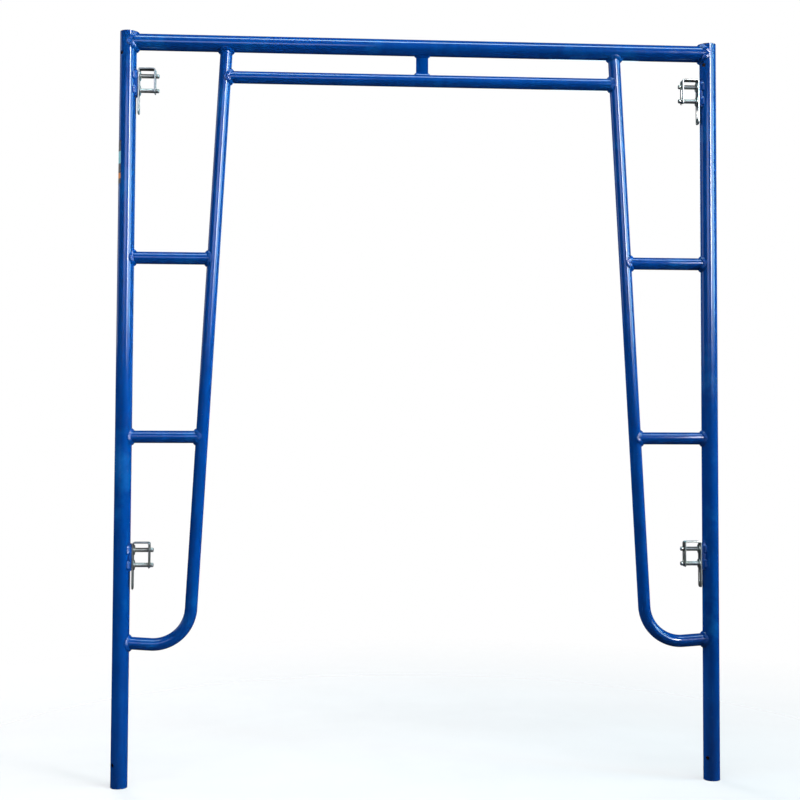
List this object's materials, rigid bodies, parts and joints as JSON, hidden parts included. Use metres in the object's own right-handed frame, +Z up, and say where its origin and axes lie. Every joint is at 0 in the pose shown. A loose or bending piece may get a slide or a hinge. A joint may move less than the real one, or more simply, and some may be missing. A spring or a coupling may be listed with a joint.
{
  "type": "scaffold frame section",
  "caption": "Walk-through scaffold end frame of welded steel tube, with ladder rungs beside each leg and sliding drop gates that hold cross braces.",
  "frame": {"origin": "midway between the two feet, at ground level", "axes": "+Z up along the legs, +X along the header from the left leg to the right leg, +Y through the frame's thin direction, away from the viewer"},
  "size_m": [1.5668, 0.0428, 1.9304],
  "materials": {
    "blue_paint": "gloss",
    "zinc_plate": "satin"
  },
  "bodies": {
    "frame": {"header_tube": "blue_paint", "lower_header": "blue_paint", "spacer_post": "blue_paint", "left_leg": "blue_paint", "left_inner_leg": "blue_paint", "left_upper_rung": "blue_paint", "left_lower_rung": "blue_paint", "right_leg": "blue_paint", "right_inner_leg": "blue_paint", "right_upper_rung": "blue_paint", "right_lower_rung": "blue_paint", "left_upper_bracket": "blue_paint", "left_upper_guide_stud": "zinc_plate", "left_upper_brace_stud": "zinc_plate", "left_lower_bracket": "blue_paint", "left_lower_guide_stud": "zinc_plate", "left_lower_brace_stud": "zinc_plate", "right_upper_bracket": "blue_paint", "right_upper_guide_stud": "zinc_plate", "right_upper_brace_stud": "zinc_plate", "right_lower_bracket": "blue_paint", "right_lower_guide_stud": "zinc_plate", "right_lower_brace_stud": "zinc_plate"},
    "left_upper_gate_body": {"left_upper_gate": "zinc_plate"},
    "left_lower_gate_body": {"left_lower_gate": "zinc_plate"},
    "right_upper_gate_body": {"right_upper_gate": "zinc_plate"},
    "right_lower_gate_body": {"right_lower_gate": "zinc_plate"}
  },
  "joints": [
    {"name": "left_upper_gate_slide", "type": "slide", "parent": "frame", "child": "left_upper_gate_body", "axis": [0, 0, 1], "range_m": [0, 0.044]},
    {"name": "left_lower_gate_slide", "type": "slide", "parent": "frame", "child": "left_lower_gate_body", "axis": [0, 0, 1], "range_m": [0, 0.044]},
    {"name": "right_upper_gate_slide", "type": "slide", "parent": "frame", "child": "right_upper_gate_body", "axis": [0, 0, 1], "range_m": [0, 0.044]},
    {"name": "right_lower_gate_slide", "type": "slide", "parent": "frame", "child": "right_lower_gate_body", "axis": [0, 0, 1], "range_m": [0, 0.044]}
  ]
}
